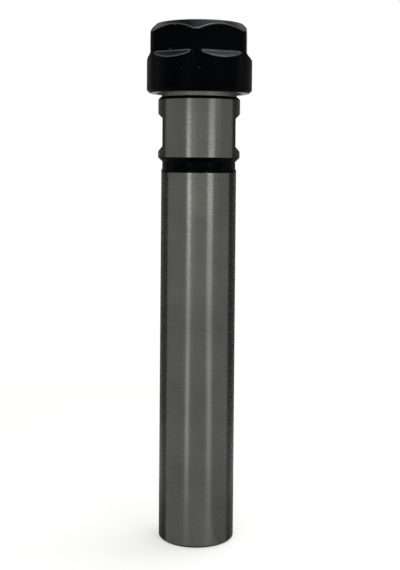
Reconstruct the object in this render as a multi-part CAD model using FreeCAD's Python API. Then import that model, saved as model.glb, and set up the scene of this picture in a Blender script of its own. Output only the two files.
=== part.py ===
"""Straight-shank collet chuck holder.

The holder is three pieces on one axis: a chuck body ground all over its shank
and collar, a spring collet with slots cut from both ends, and a hexagon
clamping nut whose eccentric ring catches the collet's groove and draws it out.

The frame has its origin at the centre of the shank's end face and +Z along the
axis, towards the nut. Everything is in millimetres. Each piece is a closed
solid in its own file, parts/NODE.step.
"""

import FreeCAD, Part
import math
import os

# Shank and the narrow relief between it and the collar
SHANK_DIAMETER = 20.0
SHANK_LENGTH = 100.6
SHANK_END_CHAMFER = 0.5
RELIEF_LENGTH = 2.2
RELIEF_DEPTH = 0.25
RELIEF_RUN_OUT = 0.4

# Collar with two wrench flats, which face +X and -X
COLLAR_DIAMETER = 21.8
COLLAR_LENGTH = 17.1
COLLAR_FRONT_CHAMFER = 0.6
WRENCH_FLAT_DEPTH = 1.3
WRENCH_FLAT_LENGTH = 7.4
WRENCH_FLAT_CENTRE = 7.7
WRENCH_FLAT_FLANK_ANGLE = 45.0
WRENCH_FLAT_CORNER_RADIUS = 0.6
WRENCH_FLATS = 2

# Threaded nose. The thread is drawn as a plain cylinder at its crests, and
# the narrow neck behind it is as deep as the thread and NECK_UNDERCUT more.
# A metric screw's thread is THREAD_DEPTH_SHARE of its pitch deep.
THREAD_DIAMETER = 22.0
THREAD_PITCH = 1.5
THREAD_DEPTH_SHARE = 0.6134
THREAD_CLEARANCE = 0.05
NOSE_LENGTH = 9.3
NOSE_CHAMFER = 0.9
NECK_LENGTH = 1.0
NECK_UNDERCUT = 0.05

# Collet: a long rear taper, a groove, a rim and a short front cone. The slots
# from each end stop this far from the other end.
COLLET_DIAMETER = 17.0
COLLET_LENGTH = 27.5
COLLET_HEAD_LENGTH = 6.26
COLLET_BORE_DIAMETER = 8.0
COLLET_BORE_CHAMFER = 0.3
COLLET_REAR_CHAMFER = 0.3
GROOVE_WIDTH = 2.0
GROOVE_DEPTH = 1.6
RIM_STEP = 0.25
RIM_WIDTH = 0.66
FRONT_HALF_ANGLE = 30.0
SLOTS_PER_END = 8
SLOT_WIDTH = 0.7
FRONT_SLOT_REMAINDER = 4.0
REAR_SLOT_REMAINDER = 6.9

# Tapered seat for the collet, which is SEAT_STEP smaller at the nose's face
# than the collet at its widest, and the bore behind it
SEAT_HALF_ANGLE = 8.0
SEAT_STEP = 0.5
SEAT_CLEARANCE = 0.03
BODY_BORE_DIAMETER = 10.5
BODY_BORE_MOUTH = 0.9

# Clamping nut, outside
NUT_STANDOFF = 1.0
NUT_WALL = 3.0
NUT_FRONT_CHAMFER = 2.5
NUT_REAR_CHAMFER = 0.8
HEX_FLATS = 6
HEX_FLAT_DEPTH = 1.5
HEX_LENGTH = 8.0
HEX_REST_ANGLE = -3.6

# Clamping nut, inside
COLLET_STAND_OUT = 0.0
CONE_CLEARANCE = 0.05
RECESS_CLEARANCE = 0.55
EXTRACTOR_PLAY = 0.4
EXTRACTOR_CLEARANCE = 0.25
EXTRACTOR_OFFSET = 0.75
WAIST_CLEARANCE = 0.9
WAIST_LENGTH = 2.3
THREAD_RELIEF_DEPTH = 0.25
THREAD_RELIEF_LENGTH = 1.6
NUT_MOUTH_CHAMFER = 0.7

# How far a cutting tool runs past the surface that it cuts
OVERCUT = 2.0

# Points closer together than this lie on the same plane
TOUCH = 1e-6

AXIS = FreeCAD.Vector(0, 0, 1)
ORIGIN = FreeCAD.Vector(0, 0, 0)

# The chuck body's sizes that follow from the ones above
shank_radius = SHANK_DIAMETER / 2
relief_radius = shank_radius - RELIEF_DEPTH
collar_radius = COLLAR_DIAMETER / 2
collar_rear_chamfer = abs(collar_radius - relief_radius)
collar_top = SHANK_LENGTH + COLLAR_LENGTH
nose_radius = THREAD_DIAMETER / 2 - THREAD_CLEARANCE
nose_face = collar_top + NOSE_LENGTH
neck_radius = THREAD_DIAMETER / 2 - THREAD_DEPTH_SHARE * THREAD_PITCH - NECK_UNDERCUT
seat_slope = math.tan(math.radians(SEAT_HALF_ANGLE))
seat_radius = COLLET_DIAMETER / 2 - SEAT_STEP
seat_length = (seat_radius - BODY_BORE_DIAMETER / 2) / seat_slope

# The collet sits where its taper is SEAT_CLEARANCE inside the seat
front_slope = math.tan(math.radians(FRONT_HALF_ANGLE))
collet_shoulder = nose_face + (SEAT_STEP + SEAT_CLEARANCE) / seat_slope
collet_front = collet_shoulder + COLLET_HEAD_LENGTH
collet_rear = collet_front - COLLET_LENGTH
groove_radius = COLLET_DIAMETER / 2 - GROOVE_DEPTH
groove_top = collet_shoulder + GROOVE_WIDTH
rim_radius = COLLET_DIAMETER / 2 - RIM_STEP
collet_face_radius = rim_radius - front_slope * (collet_front - groove_top - RIM_WIDTH)

# The nut stands NUT_STANDOFF off the collar and ends level with the collet,
# with its cone CONE_CLEARANCE outside the collet's front cone. Its ring lies
# in the collet's groove.
nut_bottom = collar_top + NUT_STANDOFF
nut_top = collet_front - COLLET_STAND_OUT
nut_radius = THREAD_DIAMETER / 2 + NUT_WALL
nut_opening_radius = collet_face_radius + CONE_CLEARANCE + front_slope * COLLET_STAND_OUT
extractor_bottom = collet_shoulder + EXTRACTOR_PLAY
extractor_top = groove_top - EXTRACTOR_PLAY
extractor_radius = groove_radius + EXTRACTOR_CLEARANCE + EXTRACTOR_OFFSET


def turned(profile):
    """Revolves a closed outline of (radius, height) points about the axis."""
    corners = [FreeCAD.Vector(radius, 0, height) for radius, height in profile]
    outline = Part.makePolygon(corners + corners[:1])
    return Part.Face(outline).revolve(ORIGIN, AXIS, 360)


def turned_copies(shape, count, first_angle=0.0):
    """Returns count copies of a shape, spaced evenly about the axis."""
    copies = []
    for index in range(count):
        copy = shape.copy()
        copy.rotate(ORIGIN, AXIS, first_angle + index * 360.0 / count)
        copies.append(copy)
    return copies


def prism_across(profile, half_width):
    """Extrudes a closed outline of (x, z) points along Y, to half_width each side."""
    corners = [FreeCAD.Vector(x, -half_width, z) for x, z in profile]
    outline = Part.makePolygon(corners + corners[:1])
    return Part.Face(outline).extrude(FreeCAD.Vector(0, 2 * half_width, 0))


def body_blank():
    """The turned and ground outside of the chuck body, solid to its axis."""
    relief_bottom = SHANK_LENGTH - RELIEF_LENGTH
    neck_top = collar_top + NECK_LENGTH
    return turned([
        (0, 0),
        (shank_radius - SHANK_END_CHAMFER, 0),
        (shank_radius, SHANK_END_CHAMFER),
        (shank_radius, relief_bottom),
        (relief_radius, relief_bottom + RELIEF_RUN_OUT),
        (relief_radius, SHANK_LENGTH),
        (collar_radius, SHANK_LENGTH + collar_rear_chamfer),
        (collar_radius, collar_top - COLLAR_FRONT_CHAMFER),
        (collar_radius - COLLAR_FRONT_CHAMFER, collar_top),
        (neck_radius, collar_top),
        (neck_radius, neck_top),
        (nose_radius, neck_top + nose_radius - neck_radius),
        (nose_radius, nose_face - NOSE_CHAMFER),
        (nose_radius - NOSE_CHAMFER, nose_face),
        (0, nose_face),
    ])


def body_bore():
    """The space inside the chuck body: mouth, through bore and collet seat."""
    bore_radius = BODY_BORE_DIAMETER / 2
    return turned([
        (0, -OVERCUT),
        (bore_radius + BODY_BORE_MOUTH + OVERCUT, -OVERCUT),
        (bore_radius, BODY_BORE_MOUTH),
        (bore_radius, nose_face - seat_length),
        (seat_radius, nose_face),
        (seat_radius + seat_slope * OVERCUT, nose_face + OVERCUT),
        (0, nose_face + OVERCUT),
    ])


def wrench_flat_cutter():
    """The milling cut that leaves one wrench flat, with its sloping flanks."""
    inner = collar_radius - WRENCH_FLAT_DEPTH
    outer = collar_radius + OVERCUT
    flank_run = (outer - inner) / math.tan(math.radians(WRENCH_FLAT_FLANK_ANGLE))
    centre = SHANK_LENGTH + WRENCH_FLAT_CENTRE
    half_length = WRENCH_FLAT_LENGTH / 2
    cutter = prism_across([
        (inner, centre - half_length),
        (inner, centre + half_length),
        (outer, centre + half_length + flank_run),
        (outer, centre - half_length - flank_run),
    ], collar_radius)
    corners = [
        edge for edge in cutter.Edges
        if all(abs(vertex.X - inner) < TOUCH for vertex in edge.Vertexes)
        and edge.BoundBox.YLength > collar_radius
    ]
    return cutter.makeFillet(WRENCH_FLAT_CORNER_RADIUS, corners)


def chuck_body():
    """The chuck body: shank, relief, collar, nose and collet seat, one piece."""
    body = body_blank().cut(body_bore())
    return body.cut(turned_copies(wrench_flat_cutter(), WRENCH_FLATS))


def collet_blank():
    """The turned collet before it is slotted."""
    taper_rear = COLLET_DIAMETER / 2 - seat_slope * (collet_shoulder - collet_rear)
    bore_radius = COLLET_BORE_DIAMETER / 2
    return turned([
        (bore_radius + COLLET_BORE_CHAMFER, collet_rear),
        (taper_rear - COLLET_REAR_CHAMFER, collet_rear),
        (taper_rear + seat_slope * COLLET_REAR_CHAMFER, collet_rear + COLLET_REAR_CHAMFER),
        (COLLET_DIAMETER / 2, collet_shoulder),
        (groove_radius, collet_shoulder),
        (groove_radius, groove_top),
        (rim_radius, groove_top),
        (rim_radius, groove_top + RIM_WIDTH),
        (collet_face_radius, collet_front),
        (bore_radius + COLLET_BORE_CHAMFER, collet_front),
        (bore_radius, collet_front - COLLET_BORE_CHAMFER),
        (bore_radius, collet_rear + COLLET_BORE_CHAMFER),
    ])


def slot_cutter(bottom, top, round_end):
    """One radial saw slot from bottom to top, rounded at the height round_end."""
    reach = COLLET_DIAMETER / 2 + OVERCUT
    corner = FreeCAD.Vector(0, -SLOT_WIDTH / 2, bottom)
    straight = Part.makeBox(reach, SLOT_WIDTH, top - bottom, corner)
    end_centre = FreeCAD.Vector(0, 0, round_end)
    rounded = Part.makeCylinder(SLOT_WIDTH / 2, reach, end_centre, FreeCAD.Vector(1, 0, 0))
    return straight.fuse(rounded)


def collet():
    """The spring collet: slots from the front and from the rear, taking turns."""
    front_end = collet_rear + FRONT_SLOT_REMAINDER + SLOT_WIDTH / 2
    rear_end = collet_front - REAR_SLOT_REMAINDER - SLOT_WIDTH / 2
    front_slot = slot_cutter(front_end, collet_front + OVERCUT, front_end)
    rear_slot = slot_cutter(collet_rear - OVERCUT, rear_end, rear_end)
    half_step = 180.0 / SLOTS_PER_END
    slots = turned_copies(front_slot, SLOTS_PER_END)
    slots += turned_copies(rear_slot, SLOTS_PER_END, half_step)
    return collet_blank().cut(slots)


def nut_blank():
    """The turned outside of the nut, with its 45 degree front chamfer."""
    return turned([
        (0, nut_bottom),
        (nut_radius - NUT_REAR_CHAMFER, nut_bottom),
        (nut_radius, nut_bottom + NUT_REAR_CHAMFER),
        (nut_radius, nut_top - NUT_FRONT_CHAMFER),
        (nut_radius - NUT_FRONT_CHAMFER, nut_top),
        (0, nut_top),
    ])


def hex_flat_cutter():
    """The cut that leaves one hexagon flat and the 45 degree ramp below it."""
    inner = nut_radius - HEX_FLAT_DEPTH
    outer = nut_radius + OVERCUT
    flat_end = nut_top - HEX_LENGTH
    return prism_across([
        (inner, nut_top + OVERCUT),
        (inner, flat_end),
        (outer, flat_end - (outer - inner)),
        (outer, nut_top + OVERCUT),
    ], nut_radius)


def nut_front_space():
    """The space in front of the nut's ring: its opening, cone and rim recess."""
    recess_radius = rim_radius + RECESS_CLEARANCE
    cone_length = (recess_radius - nut_opening_radius) / front_slope
    return turned([
        (0, extractor_top),
        (recess_radius, extractor_top),
        (recess_radius, nut_top - cone_length),
        (nut_opening_radius, nut_top),
        (nut_opening_radius, nut_top + OVERCUT),
        (0, nut_top + OVERCUT),
    ])


def nut_rear_space():
    """The space behind the nut's ring: waist, thread relief, thread and mouth."""
    thread_radius = THREAD_DIAMETER / 2 + THREAD_CLEARANCE
    run_out_radius = thread_radius + THREAD_RELIEF_DEPTH
    waist_radius = COLLET_DIAMETER / 2 + WAIST_CLEARANCE
    waist_bottom = extractor_bottom - WAIST_LENGTH
    relief_top = waist_bottom - abs(run_out_radius - waist_radius)
    relief_bottom = relief_top - THREAD_RELIEF_LENGTH
    return turned([
        (0, nut_bottom - OVERCUT),
        (thread_radius + NUT_MOUTH_CHAMFER + OVERCUT, nut_bottom - OVERCUT),
        (thread_radius, nut_bottom + NUT_MOUTH_CHAMFER),
        (thread_radius, relief_bottom - THREAD_RELIEF_DEPTH),
        (run_out_radius, relief_bottom),
        (run_out_radius, relief_top),
        (waist_radius, waist_bottom),
        (waist_radius, extractor_bottom),
        (0, extractor_bottom),
    ])


def extractor_hole():
    """The off-centre hole through the nut's ring, which overlaps the spaces each side of it."""
    overlap = EXTRACTOR_PLAY
    start = FreeCAD.Vector(EXTRACTOR_OFFSET, 0, extractor_bottom - overlap)
    return Part.makeCylinder(extractor_radius, extractor_top - start.z + overlap, start, AXIS)


def clamping_nut():
    """The hexagon clamping nut, turned to the angle at which it stands when tight."""
    spaces = [nut_front_space(), nut_rear_space(), extractor_hole()]
    nut = nut_blank().cut(turned_copies(hex_flat_cutter(), HEX_FLATS)).cut(spaces)
    nut.rotate(ORIGIN, AXIS, HEX_REST_ANGLE)
    return nut


def main():
    """Builds each piece and writes it to parts/NODE.step."""
    os.makedirs("parts", exist_ok=True)
    pieces = {
        "chuck_body": chuck_body(),
        "collet": collet(),
        "clamping_nut": clamping_nut(),
    }
    for node, shape in pieces.items():
        shape.exportStep(os.path.join("parts", node + ".step"))
        box = shape.BoundBox
        print(node, "solids", len(shape.Solids), "valid", shape.isValid(),
              "volume", round(shape.Volume, 1), "z", round(box.ZMin, 3), round(box.ZMax, 3))


main()
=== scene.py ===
"""Looks of a straight-shank collet chuck holder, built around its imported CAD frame.

The holder stands on the end of its shank. Three pieces are dressed here: the chuck
body and the clamping nut are turned again with their real screw thread, broken edges
and wrench flats, and the spring collet keeps its CAD shape. Sizes are in millimetres
until a piece is finished, and in metres, as the frame has them, from then on.
"""

import logging
import math
from collections.abc import Callable, Iterable, Mapping, Sequence
from dataclasses import dataclass
from enum import Enum, IntEnum
from typing import Any

import bmesh
import bpy
from mathutils import Matrix, Vector


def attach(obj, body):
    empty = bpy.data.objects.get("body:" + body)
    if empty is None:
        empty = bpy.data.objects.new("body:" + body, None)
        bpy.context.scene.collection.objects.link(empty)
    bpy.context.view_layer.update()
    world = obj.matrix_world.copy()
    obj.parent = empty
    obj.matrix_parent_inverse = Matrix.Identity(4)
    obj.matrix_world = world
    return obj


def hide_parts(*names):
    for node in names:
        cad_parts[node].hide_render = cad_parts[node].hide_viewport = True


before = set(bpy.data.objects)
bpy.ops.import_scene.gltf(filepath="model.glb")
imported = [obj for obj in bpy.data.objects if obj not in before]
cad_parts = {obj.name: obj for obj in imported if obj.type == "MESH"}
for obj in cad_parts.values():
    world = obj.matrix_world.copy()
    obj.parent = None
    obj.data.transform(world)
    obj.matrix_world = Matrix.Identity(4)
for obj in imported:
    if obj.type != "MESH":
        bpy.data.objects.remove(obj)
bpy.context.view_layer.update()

log = logging.getLogger("collet_chuck")

MM = 0.001  # metres in a millimetre
FULL_TURN = 2 * math.pi
AXIS = Vector((0.0, 0.0, 1.0))
CENTRE = Vector((0.0, 0.0, 0.0))
SEAM = 4e-3  # millimetres within which the ends of a spin are one corner
TOUCH = 1e-3  # millimetres within which a corner lies on a plane or on another corner
MERGE = 1e-4  # millimetres within which two corners are one
ANGLE_SLACK = 1e-6  # radians by which a corner at the end of a flat may miss it
DRAWN_OUT = 40.0  # millimetres over which a mark runs on round the axis
RING_SHARE = 0.45  # how far the rings, beside the clouds, decide the tone
TONE_SPAN = (0.5, 0.95)  # noise from the darker to the paler colour
GRAIN_SPAN = (0.3, 0.7)  # noise from the glossiest to the dullest grain
SPECK_FADE = 0.03  # noise over which a speck fades in
SPECK_STRENGTH = 0.7
CREST_SHARE = 0.125  # the wide flat of a metric thread, as a share of the pitch
RIM_REACH = 3  # level gaps within which both rims of a bridge lie
HALF_TURN = 180.0  # degrees
QUARTER_TURN = 0.25  # in turns, as the shader counts the direction of its streak
UPRIGHT = 90.0  # degrees that tip a camera from straight down to level
MIX_A, MIX_B, MIX_RESULT = 6, 7, 2  # the colour sockets of a Mix node


def linear(colour: str) -> tuple[float, float, float, float]:
    """Turns an sRGB hex colour into linear light.

    Args:
        colour: Six hex digits after a hash.

    Returns:
        Red, green and blue from 0 to 1, and an alpha of 1.
    """
    parts = [int(colour[start:start + 2], 16) / 255 for start in (1, 3, 5)]
    light = [part / 12.92 if part <= 0.04045 else ((part + 0.055) / 1.055) ** 2.4 for part in parts]
    return (light[0], light[1], light[2], 1.0)


def add_node(
    tree: bpy.types.NodeTree,
    kind: str,
    settings: Mapping[Any, Any] | None = None,
    links: Mapping[Any, bpy.types.NodeSocket] | None = None,
) -> bpy.types.Node:
    """Adds one node with its settings and links.

    Args:
        tree: The node tree that gets the node.
        kind: The node's Blender type name.
        settings: Properties of the node, or values of its unlinked sockets by name or number.
        links: The output that feeds each of its sockets, by socket name or number.

    Returns:
        The new node.
    """
    node = tree.nodes.new(kind)
    for name, value in (settings or {}).items():
        if isinstance(name, str) and hasattr(node, name):
            setattr(node, name, value)
        else:
            node.inputs[name].default_value = value
    for name, source in (links or {}).items():
        tree.links.new(source, node.inputs[name])
    return node


def new_tree(owner: bpy.types.Material | bpy.types.World) -> bpy.types.NodeTree:
    """Gives a material or a world an empty node tree.

    Args:
        owner: The material or world.

    Returns:
        Its node tree.
    """
    owner.use_nodes = True
    owner.node_tree.nodes.clear()
    return owner.node_tree


def mesh_data(mesh: bmesh.types.BMesh, name: str) -> bpy.types.Mesh:
    """Turns a mesh into the data of an object.

    Args:
        mesh: The mesh, which is used up.
        name: The name of the data.

    Returns:
        The data.
    """
    data = bpy.data.meshes.new(name)
    mesh.to_mesh(data)
    mesh.free()
    return data


def add_object(name: str, data: bpy.types.ID) -> bpy.types.Object:
    """Adds an object to the scene.

    Args:
        name: The object's name.
        data: Its mesh, lamp or camera data.

    Returns:
        The object, at the origin.
    """
    thing = bpy.data.objects.new(name, data)
    bpy.context.scene.collection.objects.link(thing)
    return thing


class Coat(Enum):
    """The state of a steel surface, which decides its colours."""

    BARE = "bare"
    BLACKENED = "blackened"


@dataclass(frozen=True)
class SteelFinish:
    """One finish of a steel surface: its colour, gloss and the marks of the tool that made it.

    The marks are fine rings about the part's axis, from a wheel or a turning tool,
    under a finer grain, with slow clouds of tone over both.
    """

    name: str
    colour: str
    light_colour: str
    roughness: float
    roughness_spread: float
    ring_spacing: float
    ring_depth: float
    grain_size: float
    grain_depth: float
    stretch: float = 0.6
    edge_tint: float = 1.0
    cloud_size: float = 14.0
    coat: Coat = Coat.BARE
    speck_size: float = 0.8
    speck_share: float = 0.845
    speck_colour: str = "#3A3E3E"

    def material(self) -> bpy.types.Material:
        """Builds the material.

        Returns:
            The material, with every pattern in Object coordinates.
        """
        material = bpy.data.materials.new(self.name)
        tree = new_tree(material)
        place = add_node(tree, "ShaderNodeTexCoord").outputs["Object"]
        # Along the axis the pattern changes once per ring; across it, it is stretched out.
        along, across = 1 / (self.ring_spacing * MM), 1 / (DRAWN_OUT * MM)
        squeezed = add_node(tree, "ShaderNodeMapping", {"Scale": (across, across, along)}, {"Vector": place})
        rings = add_node(tree, "ShaderNodeTexNoise", {"Scale": 1.0, "Detail": 3.0, "Roughness": 0.6},
                         {"Vector": squeezed.outputs[0]})
        grain = add_node(tree, "ShaderNodeTexNoise", {"Scale": 1 / (self.grain_size * MM), "Detail": 2.0},
                         {"Vector": place})
        clouds = add_node(tree, "ShaderNodeTexNoise", {"Scale": 1 / (self.cloud_size * MM), "Detail": 2.0},
                          {"Vector": place})
        tone = add_node(tree, "ShaderNodeMath", {"operation": "MULTIPLY_ADD", 1: RING_SHARE},
                        {0: rings.outputs[0], 2: clouds.outputs[0]})
        share = add_node(tree, "ShaderNodeMapRange", {"From Min": TONE_SPAN[0], "From Max": TONE_SPAN[1]},
                         {"Value": tone.outputs[0]})
        colour = add_node(tree, "ShaderNodeMix",
                          {"data_type": "RGBA", MIX_A: linear(self.colour), MIX_B: linear(self.light_colour)},
                          {"Factor": share.outputs[0]})
        base = colour.outputs[MIX_RESULT]
        if self.coat is Coat.BLACKENED:
            base = self._add_specks(tree, place, base)
        gloss = add_node(tree, "ShaderNodeMapRange",
                         {"From Min": GRAIN_SPAN[0], "From Max": GRAIN_SPAN[1],
                          "To Min": self.roughness - self.roughness_spread,
                          "To Max": self.roughness + self.roughness_spread},
                         {"Value": grain.outputs[0]})
        ring_bump = add_node(tree, "ShaderNodeBump", {"Strength": 1.0, "Distance": self.ring_depth * MM},
                             {"Height": rings.outputs[0]})
        bump = add_node(tree, "ShaderNodeBump", {"Strength": 1.0, "Distance": self.grain_depth * MM},
                        {"Height": grain.outputs[0], "Normal": ring_bump.outputs[0]})
        # The grooves run round the axis. A quarter turn from them, a lamp's streak runs up the part.
        around = add_node(tree, "ShaderNodeVectorMath", {"operation": "CROSS_PRODUCT", 0: AXIS}, {1: place})
        tangent = add_node(tree, "ShaderNodeVectorTransform",
                           {"vector_type": "VECTOR", "convert_from": "OBJECT", "convert_to": "WORLD"},
                           {"Vector": around.outputs["Vector"]})
        shader = add_node(tree, "ShaderNodeBsdfPrincipled",
                          {"Metallic": 1.0, "Anisotropic": self.stretch, "Anisotropic Rotation": QUARTER_TURN,
                           "Specular Tint": (self.edge_tint, self.edge_tint, self.edge_tint, 1.0)},
                          {"Base Color": base, "Roughness": gloss.outputs[0], "Normal": bump.outputs[0],
                           "Tangent": tangent.outputs[0]})
        add_node(tree, "ShaderNodeOutputMaterial", None, {"Surface": shader.outputs[0]})
        return material

    def _add_specks(
        self, tree: bpy.types.NodeTree, place: bpy.types.NodeSocket, base: bpy.types.NodeSocket
    ) -> bpy.types.NodeSocket:
        """Adds the few pale specks where dust sits in the oil of a blackened surface.

        Args:
            tree: The material's node tree.
            place: The coordinates that the specks read.
            base: The colour under the specks.

        Returns:
            The colour with the specks in it.
        """
        noise = add_node(tree, "ShaderNodeTexNoise", {"Scale": 1 / (self.speck_size * MM), "Detail": 0.0},
                         {"Vector": place})
        share = add_node(tree, "ShaderNodeMapRange",
                         {"From Min": self.speck_share, "From Max": self.speck_share + SPECK_FADE,
                          "To Max": SPECK_STRENGTH},
                         {"Value": noise.outputs[0]})
        mixed = add_node(tree, "ShaderNodeMix", {"data_type": "RGBA", MIX_B: linear(self.speck_colour)},
                         {"Factor": share.outputs[0], MIX_A: base})
        return mixed.outputs[MIX_RESULT]


# Hardened tool steel, cylindrical ground: a satin grey with very fine rings, in which a
# lamp draws a soft upright streak. Wheel marks are about 0.02 mm apart and are drawn at
# 0.3 mm, the finest that the picture can show.
GROUND_STEEL = SteelFinish(
    name="ground_tool_steel", colour="#4C4D49", light_colour="#575853",
    roughness=0.27, roughness_spread=0.035, ring_spacing=0.3, ring_depth=0.0016,
    grain_size=0.45, grain_depth=0.0022, stretch=0.85)

# Steel, turned and then blackened in hot oxide and oiled: nearly black, with a dim oily
# gloss that shows only where it mirrors a lamp.
BLACK_OXIDE = SteelFinish(
    name="black_oxide_steel", colour="#020304", light_colour="#040607",
    roughness=0.34, roughness_spread=0.05, ring_spacing=0.35, ring_depth=0.0012,
    grain_size=0.5, grain_depth=0.0015, coat=Coat.BLACKENED, edge_tint=0.8)

# The same oxide in a paler grey, laid on the nut's sloping edge roundings as a painted
# highlight: a dull grey line where those edges would catch the light.
PAINTED_HIGHLIGHT_EDGE = SteelFinish(
    name="painted_highlight_black_oxide", colour="#2C3030", light_colour="#585C5C",
    roughness=0.3, roughness_spread=0.05, ring_spacing=0.35, ring_depth=0.001,
    grain_size=0.3, grain_depth=0.001)

# The oxide on the ramps that the milling cutter leaves below the hexagon: a little paler
# and glossier than the rest, so that the ramp that faces a lamp turns grey.
MILLED_OXIDE = SteelFinish(
    name="milled_black_oxide", colour="#0B0F10", light_colour="#101415",
    roughness=0.3, roughness_spread=0.05, ring_spacing=0.35, ring_depth=0.001,
    grain_size=0.3, grain_depth=0.001)

# Bright turned steel of the thread and the face of the nose: paler than the ground
# surfaces, with tool marks 0.15 mm apart, drawn at 0.25 mm.
TURNED_STEEL = SteelFinish(
    name="turned_steel", colour="#62635F", light_colour="#747571",
    roughness=0.27, roughness_spread=0.04, ring_spacing=0.25, ring_depth=0.0015,
    grain_size=0.4, grain_depth=0.001)

# The neck and the cone behind the thread, cut with a roughing tool: matt and pale, so
# that they catch light from all round and show as a light ring under the nut.
FACED_STEEL = SteelFinish(
    name="rough_turned_steel", colour="#6B6B68", light_colour="#7A7A76",
    roughness=0.55, roughness_spread=0.04, ring_spacing=0.3, ring_depth=0.002,
    grain_size=0.5, grain_depth=0.002)

# Spring steel of the collet, hardened and fine ground: the palest and smoothest.
SPRING_STEEL = SteelFinish(
    name="ground_spring_steel", colour="#7A7B78", light_colour="#8C8D89",
    roughness=0.22, roughness_spread=0.03, ring_spacing=0.25, ring_depth=0.001,
    grain_size=0.4, grain_depth=0.001)


class Skin(IntEnum):
    """Material slots of a turned piece, in their order on its object."""

    GROUND = 0
    BLACK = 1
    # Paler grey of the nut's sloping edge roundings, a painted highlight.
    RUBBED = 2
    TURNED = 3
    FACED = 4
    MILLED = 5


SKIN_FINISHES: dict[Skin, SteelFinish] = {
    Skin.GROUND: GROUND_STEEL,
    Skin.BLACK: BLACK_OXIDE,
    Skin.RUBBED: PAINTED_HIGHLIGHT_EDGE,
    Skin.TURNED: TURNED_STEEL,
    Skin.FACED: FACED_STEEL,
    Skin.MILLED: MILLED_OXIDE,
}


class Ring(IntEnum):
    """Rings of corners that are shaped after the profile is spun."""

    PLAIN = 0
    UPPER_FLANK = 1
    UPPER_FLAT = 2
    LOWER_FLAT = 3
    LOWER_FLANK = 4
    HEX_TOP = 5
    RAMP_TOP = 6
    RAMP_FOOT = 7
    OFF_CENTRE = 8


@dataclass(frozen=True)
class Corner:
    """One corner of a turned profile, with the skin of the wall that starts at it."""

    radius: float
    height: float
    skin: Skin = Skin.BLACK
    ring: Ring = Ring.PLAIN


@dataclass(frozen=True)
class ScrewThread:
    """A right-hand metric thread as one helical wall, cut off level at both ends.

    Both threads are widest at the same place in the pitch, so the nut's ridge lies in the
    nose's groove, and stays there as the nut turns out.
    """

    crest_radius: float
    root_radius: float
    pitch: float
    bottom: float
    top: float
    skin: Skin
    steps_per_turn: int = 120
    flank_parts: int = 3
    flank_angle: float = 30.0
    turns_below: float = 1.5
    spare_turns: int = 2

    def profile(self) -> list[tuple[float, float]]:
        """One pitch of the thread.

        Returns:
            (radius, height above the middle of the wide flat) for each corner.
        """
        wide = max(self.crest_radius, self.root_radius)
        narrow = min(self.crest_radius, self.root_radius)
        half_flat = self.pitch * CREST_SHARE / 2
        flank = (wide - narrow) * math.tan(math.radians(self.flank_angle))
        parts = [index / self.flank_parts for index in range(self.flank_parts + 1)]
        down = [(wide + (narrow - wide) * part, half_flat + flank * part) for part in parts]
        up = [(radius, self.pitch - height) for radius, height in reversed(down)]
        middle = (narrow, self.pitch / 2)
        return [(wide, -half_flat), *down, middle, *up]

    def build(self, mesh: bmesh.types.BMesh, limit: Callable[[float, float], float]) -> None:
        """Adds the thread's wall to a mesh.

        Args:
            mesh: The mesh, in millimetres, which gets the wall.
            limit: Gives the radius that a corner may have, from its radius and height.
        """
        # The wall starts below the thread and ends above it, and both ends are cut off level.
        turns = math.ceil((self.top - self.bottom) / self.pitch) + self.spare_turns
        start = self.bottom - self.turns_below * self.pitch
        start = math.floor(start / self.pitch) * self.pitch
        corners = [mesh.verts.new((radius, 0.0, start + height)) for radius, height in self.profile()]
        edges = [mesh.edges.new(pair) for pair in zip(corners, corners[1:])]
        bmesh.ops.spin(mesh, geom=[*corners, *edges], cent=CENTRE, axis=AXIS, angle=FULL_TURN * turns,
                       dvec=AXIS * (self.pitch / self.steps_per_turn), steps=self.steps_per_turn * turns,
                       use_merge=False, use_duplicate=False)
        bmesh.ops.remove_doubles(mesh, verts=mesh.verts[:], dist=SEAM)
        for height, normal in ((self.bottom, -AXIS), (self.top, AXIS)):
            bmesh.ops.bisect_plane(mesh, geom=[*mesh.verts, *mesh.edges, *mesh.faces], dist=MERGE,
                                   plane_co=AXIS * height, plane_no=normal, clear_outer=True)
        for corner in mesh.verts:
            radius = math.hypot(corner.co.x, corner.co.y)
            scale = limit(radius, corner.co.z) / radius
            corner.co.x *= scale
            corner.co.y *= scale
        for face in mesh.faces:
            face.material_index = self.skin


@dataclass(frozen=True)
class Sweep:
    """How a profile is spun: where it starts, and the arcs with their numbers of steps."""

    first_angle: float
    arcs: tuple[tuple[float, int], ...]


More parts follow.
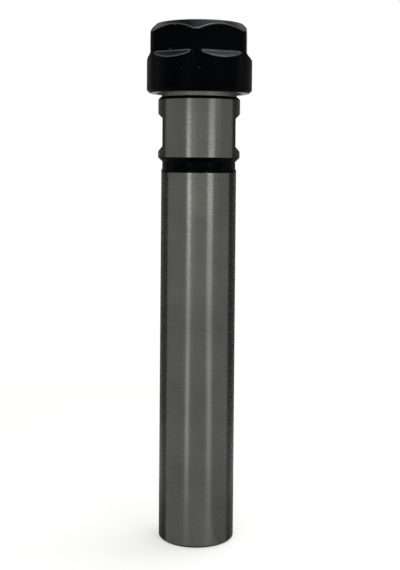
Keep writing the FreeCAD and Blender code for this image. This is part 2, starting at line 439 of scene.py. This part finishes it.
def spin_walls(mesh: bmesh.types.BMesh, corners: Sequence[Corner], sweep: Sweep) -> list[bmesh.types.BMVert]:
    """Spins an open profile once round the axis and closes its seam.

    Args:
        mesh: The mesh, in millimetres, which gets the walls.
        corners: The profile, from one end to the other.
        sweep: The arcs that make up the full turn.

    Returns:
        The new vertices, with their ring in the layer "ring".
    """
    ring_layer = mesh.verts.layers.int.get("ring") or mesh.verts.layers.int.new("ring")
    order_layer = mesh.verts.layers.int.get("order") or mesh.verts.layers.int.new("order")
    old = set(mesh.verts)
    turn = Matrix.Rotation(math.radians(sweep.first_angle), 3, "Z")
    points = []
    for order, corner in enumerate(corners):
        point = mesh.verts.new(turn @ Vector((corner.radius, 0.0, corner.height)))
        point[ring_layer] = corner.ring
        point[order_layer] = order
        points.append(point)
    geometry: list[Any] = [*points, *(mesh.edges.new(pair) for pair in zip(points, points[1:]))]
    for angle, steps in sweep.arcs:
        geometry = bmesh.ops.spin(mesh, geom=geometry, cent=CENTRE, axis=AXIS, dvec=CENTRE,
                                  angle=math.radians(angle), steps=steps,
                                  use_merge=False, use_duplicate=False)["geom_last"]
    made = [vert for vert in mesh.verts if vert not in old]
    for face in {face for vert in made for face in vert.link_faces}:
        face.material_index = corners[min(vert[order_layer] for vert in face.verts)].skin
    ends = [vert for vert in made if len(vert.link_faces) <= 2 and vert.is_boundary]
    bmesh.ops.remove_doubles(mesh, verts=ends, dist=SEAM)
    return [vert for vert in mesh.verts if vert not in old]


def bridge_at(mesh: bmesh.types.BMesh, height: float, reach: float, skin: Skin) -> None:
    """Joins the two open rims near a height.

    Args:
        mesh: The mesh, in millimetres.
        height: Where the rims are.
        reach: How far from that height they may lie.
        skin: The skin of the band between them.
    """
    rims = [edge for edge in mesh.edges
            if edge.is_boundary and all(abs(vert.co.z - height) < reach for vert in edge.verts)]
    band = bmesh.ops.bridge_loops(mesh, edges=rims)
    for face in band["faces"]:
        face.material_index = skin


def break_edges(
    mesh: bmesh.types.BMesh,
    width: float,
    wanted: Callable[[bmesh.types.BMEdge], bool],
    segments: int = 2,
    sharpest: float = 20.0,
    room_share: float = 2.2,
) -> list[bmesh.types.BMFace]:
    """Rounds sharp edges, as a file or a tumbler leaves them.

    Args:
        mesh: The mesh, in millimetres.
        width: How far from the edge the rounding starts.
        wanted: Says whether an edge is one of those to round.
        segments: The number of faces across the rounding.
        sharpest: The smallest angle between faces, in degrees, that counts as sharp.
        room_share: How long the neighbouring edges must be, as a share of the width.

    Returns:
        The faces of the rounding.
    """
    least = math.radians(sharpest)
    sharp = {edge for edge in mesh.edges
             if len(edge.link_faces) == 2 and edge.calc_face_angle(0.0) > least and wanted(edge)}
    # An edge whose neighbours are shorter than the rounding would fold over them.
    room = {edge for edge in sharp
            if all(other in sharp or other.calc_length() > room_share * width
                   for vert in edge.verts for other in vert.link_edges)}
    made = bmesh.ops.bevel(mesh, geom=list(room), offset=width, offset_type="OFFSET", segments=segments,
                           profile=0.5, affect="EDGES", clamp_overlap=True, material=-1)
    log.info("%d of %d sharp edges rounded by %.2f mm", len(room), len(sharp), width)
    return made["faces"]


def finish_piece(mesh: bmesh.types.BMesh, name: str, smooth_below: float = 32.0) -> bpy.types.Object:
    """Makes an object of a mesh in millimetres, closed and facing outwards.

    Args:
        mesh: The mesh, which is used up.
        name: The object's name.
        smooth_below: Faces that meet at less than this many degrees shade as one.

    Returns:
        The object, at the origin.
    """
    bmesh.ops.remove_doubles(mesh, verts=mesh.verts[:], dist=MERGE)
    bmesh.ops.dissolve_degenerate(mesh, edges=mesh.edges[:], dist=MERGE)
    bmesh.ops.recalc_face_normals(mesh, faces=mesh.faces[:])
    bmesh.ops.scale(mesh, vec=(MM, MM, MM), verts=mesh.verts[:])
    open_edges = sum(1 for edge in mesh.edges if not edge.is_manifold)
    data = mesh_data(mesh, name)
    data.shade_smooth()
    data.set_sharp_from_angle(angle=math.radians(smooth_below))
    piece = add_object(name, data)
    weighted = piece.modifiers.new("even_shading", "WEIGHTED_NORMAL")
    weighted.keep_sharp = True
    log.info("%s: %d faces, %d open edges", name, len(data.polygons), open_edges)
    return piece


class SkinRack:
    """The materials of the turned pieces, each made once."""

    def __init__(self) -> None:
        """Makes the materials."""
        self.materials = {skin: finish.material() for skin, finish in SKIN_FINISHES.items()}
        self.spring_steel = SPRING_STEEL.material()

    def dress(self, piece: bpy.types.Object) -> None:
        """Puts the materials in a piece's slots, in the order of Skin."""
        for skin in Skin:
            piece.data.materials.append(self.materials[skin])


@dataclass
class ChuckBody:
    """Shank, relief, collar with wrench flats, threaded nose and collet seat, in millimetres."""

    shank_radius: float = 10.0
    end_chamfer: float = 0.5
    ground_to: float = 97.75
    relief_radius: float = 9.75
    relief_bottom: float = 98.4
    relief_run_out: float = 0.4
    shank_top: float = 100.6
    collar_radius: float = 10.9
    collar_top: float = 117.7
    collar_chamfer: float = 0.6
    black_rim: float = 0.2
    flat_distance: float = 9.6
    flat_bottom: float = 104.6
    flat_top: float = 112.0
    flat_corner: float = 0.25
    neck_radius: float = 10.03
    neck_top: float = 118.7
    crest_radius: float = 10.95
    root_radius: float = 10.08
    thread_pitch: float = 1.5
    run_out_start: float = 119.65
    run_out_end: float = 120.45
    nose_face: float = 127.0
    nose_chamfer: float = 0.9
    seat_radius: float = 8.0
    seat_bottom: float = 107.433
    bore_radius: float = 5.25
    bore_mouth: float = 0.9
    edge_break: float = 0.1
    level_gap: float = 0.02
    flat_steps: int = 40
    round_steps: int = 64
    ground_margin: float = 1.4
    ground_depth: float = 0.06
    corner_reach: float = 4.2
    flat_reach: float = 5.1
    flat_margin: float = 0.5
    outer_from: float = 9.4
    below_chamfer: float = 0.1

    def corners(self) -> list[Corner]:
        """The turned profile of the body.

        Returns:
            Its corners, from the neck down the outside and back up the bore to the nose.
        """
        face_radius = self.crest_radius - self.nose_chamfer
        cone_top = self.shank_top + self.collar_radius - self.relief_radius
        return [
            Corner(self.neck_radius, self.neck_top, Skin.FACED),
            Corner(self.neck_radius, self.collar_top),
            Corner(self.collar_radius - self.collar_chamfer, self.collar_top),
            Corner(self.collar_radius, self.collar_top - self.collar_chamfer),
            Corner(self.collar_radius, self.collar_top - self.collar_chamfer - self.black_rim, Skin.GROUND),
            Corner(self.collar_radius, self.flat_top, Skin.BLACK, Ring.UPPER_FLANK),
            Corner(self.collar_radius, self.flat_top, Skin.BLACK, Ring.UPPER_FLAT),
            Corner(self.collar_radius, self.flat_bottom, Skin.BLACK, Ring.LOWER_FLAT),
            Corner(self.collar_radius, self.flat_bottom, Skin.GROUND, Ring.LOWER_FLANK),
            Corner(self.collar_radius, cone_top),
            Corner(self.relief_radius, self.shank_top),
            Corner(self.relief_radius, self.relief_bottom + self.relief_run_out),
            Corner(self.shank_radius, self.relief_bottom),
            Corner(self.shank_radius, self.ground_to, Skin.GROUND),
            Corner(self.shank_radius, self.end_chamfer, Skin.BLACK),
            Corner(self.shank_radius - self.end_chamfer, 0.0, Skin.GROUND),
            Corner(self.bore_radius + self.bore_mouth, 0.0),
            Corner(self.bore_radius, self.bore_mouth),
            Corner(self.bore_radius, self.seat_bottom, Skin.GROUND),
            Corner(self.seat_radius, self.nose_face, Skin.TURNED),
            Corner(face_radius, self.nose_face, Skin.TURNED),
        ]

    def flat_half_angle(self) -> float:
        """Half the arc, in degrees, that one wrench flat takes from the collar."""
        return math.degrees(math.acos(self.flat_distance / self.collar_radius))

    def nose_limit(self, radius: float, height: float) -> float:
        """Keeps the thread inside the nose's outline and lets it run out above the neck.

        Args:
            radius: The radius of a corner of the plain thread.
            height: The height of that corner.

        Returns:
            The radius that the corner gets.
        """
        done = min(max((height - self.run_out_start) / (self.run_out_end - self.run_out_start), 0.0), 1.0)
        # A smooth step, from no groove at the run-out's start to the whole groove at its end.
        radius = self.crest_radius - (self.crest_radius - radius) * done * done * (3 - 2 * done)
        front = self.crest_radius - self.nose_chamfer + self.nose_face - height
        return min(radius, self.neck_radius + height - self.neck_top, front)

    def cut_flats(self, verts: Iterable[bmesh.types.BMVert], ring_layer: Any) -> None:
        """Presses the collar's four middle rings into the two wrench flats and their flanks.

        Args:
            verts: The body's corners.
            ring_layer: The layer that names each corner's ring.
        """
        half = math.radians(self.flat_half_angle())
        for vert in verts:
            ring = vert[ring_layer]
            if ring not in (Ring.UPPER_FLANK, Ring.UPPER_FLAT, Ring.LOWER_FLAT, Ring.LOWER_FLANK):
                continue
            angle = math.atan2(vert.co.y, abs(vert.co.x))
            if abs(angle) > half - ANGLE_SLACK:
                continue
            depth = self.collar_radius * math.cos(angle) - self.flat_distance
            if ring == Ring.UPPER_FLANK:
                vert.co.z = self.flat_top + depth
            elif ring == Ring.LOWER_FLANK:
                vert.co.z = self.flat_bottom - depth
            else:
                scale = self.flat_distance / math.cos(angle) / self.collar_radius
                vert.co.x *= scale
                vert.co.y *= scale

    def grind_collar(self, mesh: bmesh.types.BMesh) -> None:
        """Gives the collar's round between the flats the ground skin, and leaves the flats black.

        Args:
            mesh: The body's mesh.
        """
        for face in mesh.faces:
            middle = face.calc_center_median()
            level = self.flat_bottom - self.ground_margin < middle.z < self.flat_top + self.ground_margin
            if level and math.hypot(middle.x, middle.y) > self.collar_radius - self.ground_depth:
                face.material_index = Skin.GROUND

    def build(self, rack: SkinRack) -> bpy.types.Object:
        """Builds and places the piece.

        Args:
            rack: The materials.

        Returns:
            The chuck body's visual piece.
        """
        mesh = bmesh.new()
        thread = ScrewThread(self.crest_radius, self.root_radius, self.thread_pitch,
                             self.neck_top + self.level_gap, self.nose_face - self.level_gap, Skin.TURNED)
        thread.build(mesh, self.nose_limit)
        half = self.flat_half_angle()
        sweep = Sweep(-half, ((2 * half, self.flat_steps), (HALF_TURN - 2 * half, self.round_steps)) * 2)
        verts = spin_walls(mesh, self.corners(), sweep)
        self.cut_flats(verts, mesh.verts.layers.int["ring"])
        bmesh.ops.remove_doubles(mesh, verts=verts, dist=TOUCH)
        self.grind_collar(mesh)
        for face in mesh.faces:
            if self.neck_top < face.calc_center_median().z < self.run_out_start:
                face.material_index = Skin.FACED
        bridge_at(mesh, self.neck_top, RIM_REACH * self.level_gap, Skin.FACED)
        bridge_at(mesh, self.nose_face, RIM_REACH * self.level_gap, Skin.TURNED)
        bmesh.ops.recalc_face_normals(mesh, faces=mesh.faces[:])
        break_edges(mesh, self.flat_corner, self.is_flat_corner, segments=3, sharpest=30)
        break_edges(mesh, self.edge_break, self.is_outer_edge)
        self.grind_collar(mesh)
        piece = finish_piece(mesh, "holder_body")
        rack.dress(piece)
        return piece

    def is_flat_corner(self, edge: bmesh.types.BMEdge) -> bool:
        """True for the hollow corners between a wrench flat and its flanks."""
        return all(self.on_flat(vert) and abs(vert.co.y) < self.corner_reach
                   and min(abs(vert.co.z - self.flat_top), abs(vert.co.z - self.flat_bottom)) < TOUCH
                   for vert in edge.verts)

    def on_flat(self, vert: bmesh.types.BMVert) -> bool:
        """True for a corner in the plane of a wrench flat."""
        return abs(abs(vert.co.x) - self.flat_distance) < TOUCH

    def is_outer_edge(self, edge: bmesh.types.BMEdge) -> bool:
        """True for the edges outside, from the shank's end to the collar's chamfer, but not on a flat.

        Args:
            edge: An edge of the body.

        Returns:
            Whether the edge is one to break.
        """
        low, high = self.flat_bottom - self.flat_margin, self.flat_top + self.flat_margin
        return all(vert.co.z < self.collar_top - self.below_chamfer
                   and math.hypot(vert.co.x, vert.co.y) > self.outer_from
                   and not (self.on_flat(vert) and abs(vert.co.y) < self.flat_reach
                            and low < vert.co.z < high)
                   for vert in edge.verts)


@dataclass
class ClampingNut:
    """The hexagon nut with its off-centre ring and its thread, in millimetres."""

    bottom: float = 118.7
    top: float = 137.031
    radius: float = 14.0
    front_chamfer: float = 2.5
    rear_chamfer: float = 0.8
    flat_distance: float = 12.5
    flat_bottom: float = 129.031
    rest_angle: float = -3.6
    opening_radius: float = 6.2215
    cone_half_angle: float = 30.0
    recess_radius: float = 8.8
    ring_top: float = 132.371
    ring_bottom: float = 131.171
    ring_radius: float = 7.9
    ring_offset: float = 0.75
    waist_radius: float = 9.4
    waist_bottom: float = 128.871
    relief_radius: float = 11.3
    relief_bottom: float = 125.371
    root_radius: float = 11.05
    crest_radius: float = 10.2
    thread_pitch: float = 1.5
    mouth_chamfer: float = 0.7
    thread_start: float = 120.5
    relief_chamfer: float = 0.25
    edge_break: float = 0.2
    level_gap: float = 0.04
    sides: int = 6
    flat_steps: int = 32
    corner_steps: int = 5
    outer_from: float = 11.9
    top_slack: float = 0.01
    # Roundings that tilt more than this from upright get the painted highlight.
    painted_highlight_slope: float = 0.15

    def corners(self) -> list[Corner]:
        """The turned profile of the nut.

        Returns:
            Its corners, from the mouth up the outside and back down the inside.
        """
        cone_bottom = self.top - (self.recess_radius - self.opening_radius) / math.tan(
            math.radians(self.cone_half_angle))
        relief_top = self.waist_bottom - self.relief_radius + self.waist_radius
        return [
            Corner(self.root_radius + self.mouth_chamfer, self.bottom),
            Corner(self.radius - self.rear_chamfer, self.bottom),
            Corner(self.radius, self.bottom + self.rear_chamfer),
            Corner(self.radius, self.flat_bottom, Skin.MILLED, Ring.RAMP_FOOT),
            Corner(self.radius, self.flat_bottom, Skin.BLACK, Ring.RAMP_TOP),
            Corner(self.radius, self.top - self.front_chamfer, Skin.BLACK, Ring.HEX_TOP),
            Corner(self.radius - self.front_chamfer, self.top),
            Corner(self.opening_radius, self.top),
            Corner(self.recess_radius, cone_bottom),
            Corner(self.recess_radius, self.ring_top),
            Corner(self.ring_radius, self.ring_top, Skin.BLACK, Ring.OFF_CENTRE),
            Corner(self.ring_radius, self.ring_bottom, Skin.BLACK, Ring.OFF_CENTRE),
            Corner(self.waist_radius, self.ring_bottom),
            Corner(self.waist_radius, self.waist_bottom),
            Corner(self.relief_radius, relief_top),
            Corner(self.relief_radius, self.relief_bottom),
        ]

    def flat_half_angle(self) -> float:
        """Half the arc, in degrees, that one hexagon flat takes from the round."""
        return math.degrees(math.acos(self.flat_distance / self.radius))

    def mouth_limit(self, radius: float, height: float) -> float:
        """Opens the mouth with a chamfer, and starts the ridge above the run-out of the nose's thread."""
        lead_in = self.root_radius - max(height - self.thread_start, 0.0)
        return max(radius, lead_in, self.root_radius + self.mouth_chamfer - (height - self.bottom))

    def cut_hexagon(self, verts: Iterable[bmesh.types.BMVert], ring_layer: Any) -> None:
        """Presses three outer rings into the six flats, their ramps and the arcs above them.

        It also moves the ring that holds the collet off the axis.

        Args:
            verts: The nut's corners.
            ring_layer: The layer that names each corner's ring.
        """
        half = math.radians(self.flat_half_angle())
        step = FULL_TURN / self.sides
        rest = math.radians(self.rest_angle)
        for vert in verts:
            ring = vert[ring_layer]
            if ring == Ring.OFF_CENTRE:
                vert.co += Matrix.Rotation(rest, 3, "Z") @ Vector((self.ring_offset, 0.0, 0.0))
            if ring not in (Ring.HEX_TOP, Ring.RAMP_TOP, Ring.RAMP_FOOT):
                continue
            angle = math.atan2(vert.co.y, vert.co.x) - rest
            aside = (angle + step / 2) % step - step / 2
            on_flat = abs(aside) < half - ANGLE_SLACK
            radius = self.flat_distance / math.cos(aside) if on_flat else self.radius
            if ring == Ring.RAMP_FOOT:
                vert.co.z = self.flat_bottom - (self.radius - radius)
                continue
            if ring == Ring.HEX_TOP:
                vert.co.z = self.top - (radius - self.radius + self.front_chamfer)
            scale = radius / self.radius
            vert.co.x *= scale
            vert.co.y *= scale

    def build(self, rack: SkinRack) -> bpy.types.Object:
        """Builds and places the piece.

        Args:
            rack: The materials.

        Returns:
            The nut's visual piece.
        """
        mesh = bmesh.new()
        thread_top = self.relief_bottom - self.relief_chamfer
        thread = ScrewThread(self.crest_radius, self.root_radius, self.thread_pitch,
                             self.bottom + self.level_gap, thread_top, Skin.BLACK)
        thread.build(mesh, self.mouth_limit)
        half = self.flat_half_angle()
        corner = 2 * HALF_TURN / self.sides - 2 * half
        one_side = ((2 * half, self.flat_steps), (corner, self.corner_steps))
        sweep = Sweep(self.rest_angle - half, one_side * self.sides)
        verts = spin_walls(mesh, self.corners(), sweep)
        self.cut_hexagon(verts, mesh.verts.layers.int["ring"])
        bmesh.ops.remove_doubles(mesh, verts=verts, dist=TOUCH)
        bridge_at(mesh, self.bottom, RIM_REACH * self.level_gap, Skin.BLACK)
        bridge_at(mesh, (thread_top + self.relief_bottom) / 2, self.relief_chamfer, Skin.BLACK)
        bmesh.ops.recalc_face_normals(mesh, faces=mesh.faces[:])
        for face in break_edges(mesh, self.edge_break, self.is_outer_edge):
            above_skirt = face.calc_center_median().z > self.bottom + 2 * self.rear_chamfer
            # Roundings above the skirt that tilt up or down get the paler grey, a painted highlight along the
            # edges.
            if above_skirt and abs(face.normal.z) > self.painted_highlight_slope:
                face.material_index = Skin.RUBBED
        piece = finish_piece(mesh, "nut_shell")
        rack.dress(piece)
        return piece

    def is_outer_edge(self, edge: bmesh.types.BMEdge) -> bool:
        """True for the edges outside and round the opening."""
        return all(math.hypot(vert.co.x, vert.co.y) > self.outer_from or vert.co.z > self.top - self.top_slack
                   for vert in edge.verts)


class Path(Enum):
    """Kinds of ray that see the surroundings at full white."""

    CAMERA = "Is Camera Ray"
    GLOSSY = "Is Glossy Ray"
    TRANSMISSION = "Is Transmission Ray"


def background_seen(tree: bpy.types.NodeTree) -> bpy.types.NodeSocket:
    """Adds nodes that tell the rays that see the background from those that only bring light.

    Args:
        tree: The node tree of the floor or the world.

    Returns:
        An output that is 1 for the camera, reflections and refractions, and 0 otherwise.
    """
    rays = add_node(tree, "ShaderNodeLightPath")
    seen = rays.outputs[Path.CAMERA.value]
    for path in (Path.GLOSSY, Path.TRANSMISSION):
        seen = add_node(tree, "ShaderNodeMath", {"operation": "MAXIMUM"},
                        {0: seen, 1: rays.outputs[path.value]}).outputs[0]
    return seen


@dataclass(frozen=True)
class Lamp:
    """A soft rectangular studio lamp, placed in metres."""

    name: str
    place: tuple[float, float, float]
    target: tuple[float, float, float]
    width: float
    height: float
    radiance: float

    def build(self) -> None:
        """Adds the lamp, which the camera itself doesn't see."""
        light = bpy.data.lights.new(self.name, "AREA")
        light.shape = "RECTANGLE"
        light.size, light.size_y = self.width, self.height
        light.energy = self.radiance * math.pi * self.width * self.height
        lamp = add_object(self.name, light)
        place, target = Vector(self.place), Vector(self.target)
        turn = (target - place).to_track_quat("-Z", "Y").to_matrix().to_4x4()
        lamp.matrix_world = Matrix.Translation(place) @ turn
        lamp.visible_camera = False


def card_material(name: str, colour: str) -> bpy.types.Material:
    """Makes a matt material for a studio card.

    Args:
        name: The material's name.
        colour: Its sRGB hex colour.

    Returns:
        The material.
    """
    material = bpy.data.materials.new(name)
    tree = new_tree(material)
    card = add_node(tree, "ShaderNodeBsdfDiffuse", {"Color": linear(colour)})
    add_node(tree, "ShaderNodeOutputMaterial", None, {"Surface": card.outputs[0]})
    return material


def build_card(
    name: str, columns: Sequence[Sequence[Vector]], materials: Sequence[bpy.types.Material]
) -> None:
    """Adds a studio card that only reflections see: it hides nothing, and takes no light from the floor.

    Args:
        name: The card's name.
        columns: Points of the card, in metres, column by column.
        materials: One material for each row of faces.
    """
    mesh = bmesh.new()
    grid = [[mesh.verts.new(point) for point in column] for column in columns]
    for left, right in zip(grid, grid[1:]):
        for row in range(len(materials)):
            face = mesh.faces.new((left[row], right[row], right[row + 1], left[row + 1]))
            face.material_index = row
    data = mesh_data(mesh, name)
    for material in materials:
        data.materials.append(material)
    board = add_object(name, data)
    board.visible_camera = False
    board.visible_diffuse = False
    board.visible_shadow = False


@dataclass
class Studio:
    """A plain pale floor, white surroundings, grey cards and soft lamps, in metres."""

    floor_radius: float = 4.0
    floor_sides: int = 96
    floor_colour: str = "#F4F4F2"
    floor_glow: float = 0.45
    fade_start: float = 0.06
    fade_end: float = 0.3
    fill_level: float = 0.6
    card_colour: str = "#7C7C7A"
    foot_colour: str = "#A2A2A0"
    near_foot_colour: str = "#7E7E7C"
    near_foot_share: float = 0.35
    apron_lift: float = 0.00015
    apron_colour: str = "#C8C8C6"
    apron_angles: tuple[float, float] = (40.0, 92.0)
    apron_radius: float = 0.055
    foot_radius: float = 0.0102
    foot_angles: tuple[float, float] = (54.0, 165.0)
    foot_parts: int = 8
    card_height: float = 0.2
    card_lift: float = 0.0003
    card_near: tuple[float, float] = (0.098, 0.022)
    card_far: tuple[float, float] = (0.042, 0.156)
    # Each lamp's name, place, target, width, height and radiance.
    lamps: tuple[Lamp, ...] = (
        Lamp("top_softbox", (0.13, 0.1, 0.78), (0.0, 0.0, 0.12), 0.34, 0.44, 6.8),
        Lamp("front_top_softbox", (-0.02, -0.45, 0.6), (0.0, 0.0, 0.13), 0.22, 0.22, 3.0),
        Lamp("left_strip", (-0.093, -0.177, 0.099), (0.0, 0.0, 0.099), 0.036, 0.038, 9.2),
        Lamp("left_strip_foot", (-0.093, -0.177, 0.039), (0.0, 0.0, 0.039), 0.036, 0.078, 1.3),
        Lamp("right_strip", (0.116, -0.163, 0.099), (0.0, 0.0, 0.099), 0.058, 0.038, 6.6),
        Lamp("right_strip_foot", (0.113, -0.165, 0.039), (0.0, 0.0, 0.039), 0.05, 0.078, 1.15),
        Lamp("left_strip_floor", (-0.030, -0.057, 0.02), (0.0, 0.0, 0.02), 0.0115, 0.04, 1.5),
        Lamp("right_strip_floor", (0.0365, -0.0505, 0.02), (0.0, 0.0, 0.02), 0.0144, 0.04, 1.05),
        Lamp("left_strip_glow", (-0.053, -0.193, 0.1), (0.0, 0.0, 0.1), 0.05, 0.036, 1.4),
        Lamp("right_flat_panel", (0.159, -0.121, 0.156), (0.0, 0.0, 0.132), 0.06, 0.03, 2.2),
        Lamp("front_panel", (0.01, -0.22, 0.112), (0.0, 0.0, 0.112), 0.22, 0.056, 0.75),
    )

    def floor_material(self) -> bpy.types.Material:
        """Makes a matt pale board near the object, which brightens to white further out.

        Returns:
            The material.
        """
        material = bpy.data.materials.new("pale_floor_board")
        tree = new_tree(material)
        place = add_node(tree, "ShaderNodeTexCoord").outputs["Object"]
        distance = add_node(tree, "ShaderNodeVectorMath", {"operation": "LENGTH"}, {0: place})
        fade = add_node(tree, "ShaderNodeMapRange",
                        {"interpolation_type": "SMOOTHSTEP", "From Min": self.fade_start,
                         "From Max": self.fade_end, "To Min": self.floor_glow},
                        {"Value": distance.outputs["Value"]})
        # Light that bounces off the floor comes from the board alone, so the white adds none.
        whiteness = add_node(tree, "ShaderNodeMath", {"operation": "MULTIPLY"},
                             {0: fade.outputs[0], 1: background_seen(tree)})
        board = add_node(tree, "ShaderNodeBsdfDiffuse", {"Color": linear(self.floor_colour)})
        white = add_node(tree, "ShaderNodeEmission", {"Strength": 1.0})
        mixed = add_node(tree, "ShaderNodeMixShader", None,
                         {0: whiteness.outputs[0], 1: board.outputs[0], 2: white.outputs[0]})
        add_node(tree, "ShaderNodeOutputMaterial", None, {"Surface": mixed.outputs[0]})
        return material

    def build_floor(self) -> None:
        """Lays the floor under the shank's end."""
        mesh = bmesh.new()
        bmesh.ops.create_circle(mesh, cap_ends=True, segments=self.floor_sides, radius=self.floor_radius)
        data = mesh_data(mesh, "floor")
        data.materials.append(self.floor_material())
        add_object("floor", data)

    def build_cards(self) -> None:
        """Stands a grey card behind each side of the object, to draw its edges in the metal.

        The foot of each card runs in along the floor towards the shank. A paler apron lies
        beside the shank on the right, and dims what the metal mirrors of the floor there.
        """
        near_foot = card_material("near_card_foot", self.near_foot_colour)
        foot = card_material("grey_card_foot", self.foot_colour)
        card = card_material("dark_grey_card", self.card_colour)
        lift = AXIS * self.card_lift
        for name, side in (("left_card", -1), ("right_card", 1)):
            near, far = (Vector((side * x, y, 0.0)) + lift for x, y in (self.card_near, self.card_far))
            columns = []
            for part, direction in self.directions(self.foot_angles, side):
                inner, outer = direction * self.foot_radius + lift, near.lerp(far, part)
                columns.append((inner, inner.lerp(outer, self.near_foot_share), outer,
                                outer + AXIS * self.card_height))
            build_card(name, columns, (near_foot, foot, card))
        low = AXIS * self.apron_lift
        apron = [(direction * self.foot_radius + low, direction * self.apron_radius + low)
                 for _, direction in self.directions(self.apron_angles, 1)]
        build_card("right_apron", apron, (card_material("pale_grey_card", self.apron_colour),))

    def directions(self, angles: tuple[float, float], side: int) -> list[tuple[float, Vector]]:
        """Level directions out from the axis, evenly spread between two angles.

        Args:
            angles: The first and last angle from the front, in degrees.
            side: 1 for the right, -1 for the left.

        Returns:
            For each direction its share of the way, and the direction.
        """
        found = []
        for index in range(self.foot_parts + 1):
            part = index / self.foot_parts
            angle = math.radians(angles[0] + (angles[1] - angles[0]) * part)
            found.append((part, Vector((side * math.sin(angle), -math.cos(angle), 0.0))))
        return found

    def build_surroundings(self) -> None:
        """White all round for what the camera and the metal see, and a plain level of light."""
        world = bpy.data.worlds.new("white_surroundings")
        tree = new_tree(world)
        level = add_node(tree, "ShaderNodeMapRange", {"To Min": self.fill_level, "To Max": 1.0},
                         {"Value": background_seen(tree)})
        background = add_node(tree, "ShaderNodeBackground", {"Color": (1.0, 1.0, 1.0, 1.0)},
                              {"Strength": level.outputs[0]})
        add_node(tree, "ShaderNodeOutputWorld", None, {"Surface": background.outputs[0]})
        bpy.context.scene.world = world

    def build(self) -> None:
        """Sets up the floor, the cards, the surroundings and the lamps."""
        self.build_floor()
        self.build_cards()
        self.build_surroundings()
        for lamp in self.lamps:
            lamp.build()
        bpy.context.scene.view_settings.view_transform = "Standard"


@dataclass(frozen=True)
class PhotoCamera:
    """The camera at the photograph's viewing angle."""

    place: tuple[float, float, float] = (0.0004, -0.277, 0.1012)
    pitch_down: float = 1.824
    roll: float = 0.472
    focal_pixels: float = 1037.4
    frame_height: float = 570.0
    sensor: float = 36.0
    shift_down: float = 0.162

    def build(self) -> None:
        """Adds the camera and makes it the scene's."""
        data = bpy.data.cameras.new("photo_camera")
        data.sensor_width = self.sensor
        data.lens = self.focal_pixels * self.sensor / self.frame_height
        data.shift_y = -self.shift_down
        camera = add_object("photo_camera", data)
        camera.matrix_world = (
            Matrix.Translation(Vector(self.place))
            @ Matrix.Rotation(math.radians(UPRIGHT - self.pitch_down), 4, "X")
            @ Matrix.Rotation(math.radians(self.roll), 4, "Z"))
        bpy.context.scene.camera = camera


def main() -> None:
    """Builds the camera, the studio and the pieces, and reports each."""
    logging.basicConfig(level=logging.INFO, format="%(name)s: %(message)s")
    PhotoCamera().build()
    Studio().build()
    rack = SkinRack()

    body = ChuckBody().build(rack)
    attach(body, "holder")
    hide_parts("chuck_body")

    nut = ClampingNut().build(rack)
    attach(nut, "nut")
    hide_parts("clamping_nut")

    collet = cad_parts["collet"]
    collet.data.materials.clear()
    collet.data.materials.append(rack.spring_steel)
    log.info("collet: the CAD shape in %s", SPRING_STEEL.name)


if __name__ == "__main__":
    main()
